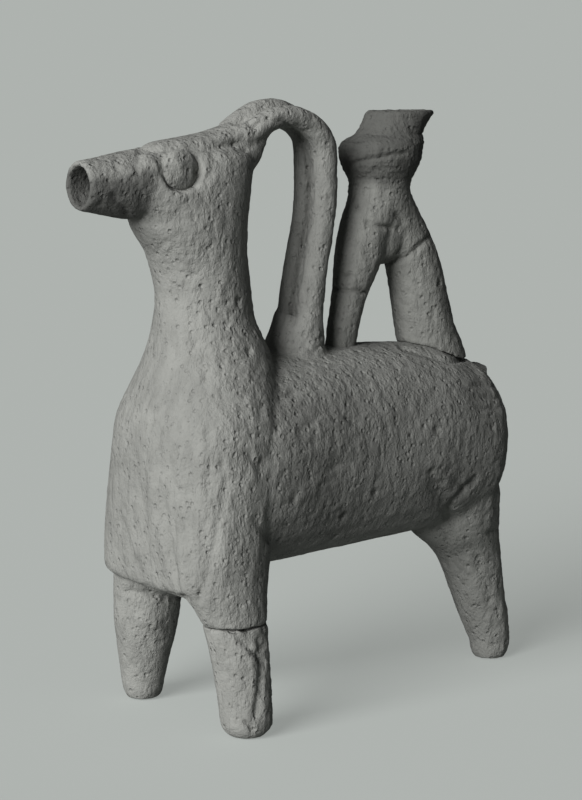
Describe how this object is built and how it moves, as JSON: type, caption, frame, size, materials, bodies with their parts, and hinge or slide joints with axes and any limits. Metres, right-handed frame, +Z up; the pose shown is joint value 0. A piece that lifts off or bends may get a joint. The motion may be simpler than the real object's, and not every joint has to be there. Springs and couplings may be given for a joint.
{
  "type": "animal-shaped vessel",
  "caption": "Hollow fired-clay pouring vessel shaped as a standing animal, with a tubular muzzle spout, a roll handle and a filler cup on forked tubes.",
  "frame": {"origin": "on the ground, under the middle of the vessel's bounding box", "axes": "+Z up; the animal faces -X; its left side is -Y"},
  "size_m": [0.197, 0.082, 0.2216],
  "materials": {
    "clay": "unglazed, smoothed by hand, weathered and pitted",
    "filler_clay": "unglazed, partly thrown on a wheel, weathered"
  },
  "bodies": {
    "root": {"body": "clay", "neck_head": "clay", "muzzle_spout": "clay", "eye_left": "clay", "eye_right": "clay", "forehead_strip": "clay", "handle_roll_left": "clay", "handle_roll_right": "clay", "handle_foot": "clay", "front_leg_left": "clay", "front_leg_right": "clay", "hind_leg": "clay", "tail_stub": "clay", "filler_tube_front_lower": "filler_clay", "filler_yoke": "filler_clay", "filler_tube_rear": "filler_clay", "filler_cup": "filler_clay"}
  },
  "joints": []
}
